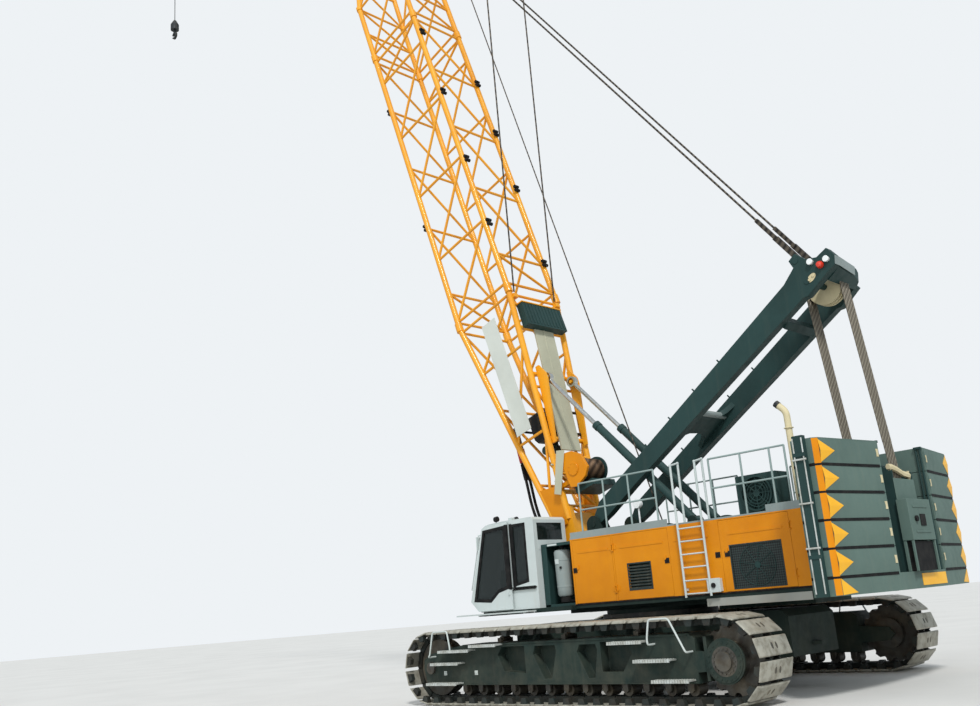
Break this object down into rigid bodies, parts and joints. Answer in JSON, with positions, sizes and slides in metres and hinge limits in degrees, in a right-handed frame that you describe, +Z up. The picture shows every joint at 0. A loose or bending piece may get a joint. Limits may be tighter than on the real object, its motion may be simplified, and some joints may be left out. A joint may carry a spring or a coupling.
{
  "type": "crawler crane",
  "caption": "Crawler crane with a luffing lattice boom, a fixed lattice jib on top, a swept rear ballast and a glazed side cab.",
  "frame": {"origin": "on the ground under the slewing axis, midway between the tracks", "axes": "+X towards the boom's side (front), +Y to the left, +Z up"},
  "size_m": [27.4866, 7.062, 36.4191],
  "materials": {
    "orange_paint": "semi-gloss",
    "frame_paint": "satin",
    "dark_paint": "satin",
    "white_paint": "semi-gloss",
    "ballast": "matte",
    "shoe_steel": "worn",
    "rope": "matte",
    "rod_steel": "polished",
    "cream_paint": "satin",
    "black_steel": "matte",
    "seat_cloth": "matte",
    "glass": "clear"
  },
  "bodies": {
    "undercarriage": {"carbody": "frame_paint", "carbody_ballast": "dark_paint", "slewing_ring": "black_steel", "side_frame_left": "frame_paint", "side_frame_right": "frame_paint", "track_left": "shoe_steel", "track_right": "shoe_steel", "drive_sprockets": "dark_paint", "idlers": "dark_paint", "track_rollers": "dark_paint", "access_steps": "white_paint"},
    "superstructure": {"slewing_frame": "frame_paint", "cab_platform": "frame_paint", "house_left": "orange_paint", "house_right": "orange_paint", "house_roof": "white_paint", "engine_block": "dark_paint", "ladder": "white_paint", "deck_rails": "white_paint", "oil_cooler": "dark_paint", "exhaust": "cream_paint", "winches": "dark_paint", "rear_tower": "dark_paint", "counterweight_base": "ballast", "counterweight_left": "ballast", "counterweight_right": "ballast", "tie_posts": "dark_paint", "cab": "white_paint", "cab_glass": "glass", "cab_seat": "seat_cloth", "cab_fittings": "white_paint", "cab_cabinet": "dark_paint"},
    "boom": {"boom_foot": "orange_paint", "boom_insert": "orange_paint", "boom_head": "orange_paint", "boom_walkway": "orange_paint", "boom_winch": "dark_paint", "boom_sheaves": "cream_paint", "jib": "orange_paint", "jib_strut": "orange_paint", "jib_stays": "rope"},
    "a_frame": {"a_frame": "dark_paint", "a_frame_sheaves": "cream_paint"},
    "cab_door": {"cab_door": "white_paint", "cab_door_glass": "glass"},
    "hook": {"hook": "black_steel"},
    "backstop_barrels": {"backstop_barrels": "dark_paint"},
    "backstop_rods": {"backstop_rods": "rod_steel"},
    "boom_pendants": {"boom_pendants": "rope"},
    "reeving_upper": {"reeving_upper": "rope"},
    "reeving_lower": {"reeving_lower": "rope"},
    "hoist_rope": {"hoist_rope": "rope"},
    "house_door_1": {"house_door_1": "orange_paint"},
    "house_door_2": {"house_door_2": "orange_paint"},
    "house_door_3": {"house_door_3": "orange_paint"},
    "house_door_4": {"house_door_4": "orange_paint"},
    "house_door_5": {"house_door_5": "orange_paint"}
  },
  "joints": [
    {"name": "slew", "type": "hinge", "parent": "undercarriage", "child": "superstructure", "pos_m": [0, 0, 1.5], "axis": [0, 0, 1], "continuous": true},
    {"name": "luff", "type": "hinge", "parent": "superstructure", "child": "boom", "pos_m": [1.6, 0, 2.35], "axis": [0, -1, 0], "range_deg": [-20, 8]},
    {"name": "a_frame_tilt", "type": "hinge", "parent": "superstructure", "child": "a_frame", "pos_m": [0.9, 0, 3.42], "axis": [0, -1, 0], "range_deg": [-23.6, 9.5]},
    {"name": "pendant_swing", "type": "hinge", "parent": "a_frame", "child": "boom_pendants", "pos_m": [-4.6, 0, 7.72], "axis": [0, -1, 0], "range_deg": [-1.4, 3.4]},
    {"name": "reeving_swing", "type": "hinge", "parent": "a_frame", "child": "reeving_upper", "pos_m": [-4.77, 0, 7.27], "axis": [0, -1, 0], "range_deg": [-2.2, 5.4]},
    {"name": "fall_swing", "type": "hinge", "parent": "superstructure", "child": "reeving_lower", "pos_m": [-5.095, 0, 3.45], "axis": [0, -1, 0], "range_deg": [-18.2, 7.3]},
    {"name": "backstop_swing", "type": "hinge", "parent": "superstructure", "child": "backstop_barrels", "pos_m": [-1.45, 0, 3.22], "axis": [0, -1, 0], "range_deg": [-14, 5.6]},
    {"name": "backstop_stroke", "type": "slide", "parent": "backstop_barrels", "child": "backstop_rods", "axis": [0.6875, 0, 0.7262], "range_m": [-0.377, 0.942]},
    {"name": "hoist_rope_swing", "type": "hinge", "parent": "superstructure", "child": "hoist_rope", "pos_m": [-0.79, 0, 2.83], "axis": [0, -1, 0], "range_deg": [-19.7, 7.9]},
    {"name": "hook_hang", "type": "hinge", "parent": "boom", "child": "hook", "pos_m": [21.40127, 0, 36.12909], "axis": [0, -1, 0], "range_deg": [-8, 20]},
    {"name": "cab_door_slide", "type": "slide", "parent": "superstructure", "child": "cab_door", "axis": [-1, 0, 0], "range_m": [0, 0.65]},
    {"name": "house_door_1_hinge", "type": "hinge", "parent": "superstructure", "child": "house_door_1", "pos_m": [-0.152, 1.621, 2.4], "axis": [0, 0, 1], "range_deg": [0, 90]},
    {"name": "house_door_2_hinge", "type": "hinge", "parent": "superstructure", "child": "house_door_2", "pos_m": [-0.2, 1.621, 2.4], "axis": [0, 0, -1], "range_deg": [0, 90]},
    {"name": "house_door_3_hinge", "type": "hinge", "parent": "superstructure", "child": "house_door_3", "pos_m": [-4.104, 1.621, 2.4], "axis": [0, 0, 1], "range_deg": [0, 90]},
    {"name": "house_door_4_hinge", "type": "hinge", "parent": "superstructure", "child": "house_door_4", "pos_m": [-0.152, -1.621, 2.4], "axis": [0, 0, -1], "range_deg": [0, 90]},
    {"name": "house_door_5_hinge", "type": "hinge", "parent": "superstructure", "child": "house_door_5", "pos_m": [-0.2, -1.621, 2.4], "axis": [0, 0, 1], "range_deg": [0, 90]}
  ],
  "couplings": [
    {"joint": "a_frame_tilt", "follows": "luff", "ratio": 1.174},
    {"joint": "pendant_swing", "follows": "luff", "ratio": -0.1615},
    {"joint": "reeving_swing", "follows": "luff", "ratio": -0.269},
    {"joint": "fall_swing", "follows": "luff", "ratio": 0.905},
    {"joint": "backstop_swing", "follows": "luff", "ratio": 0.695},
    {"joint": "backstop_stroke", "follows": "luff", "m_per_rad": -2.695},
    {"joint": "hoist_rope_swing", "follows": "luff", "ratio": 0.982},
    {"joint": "hook_hang", "follows": "luff", "ratio": -1}
  ]
}
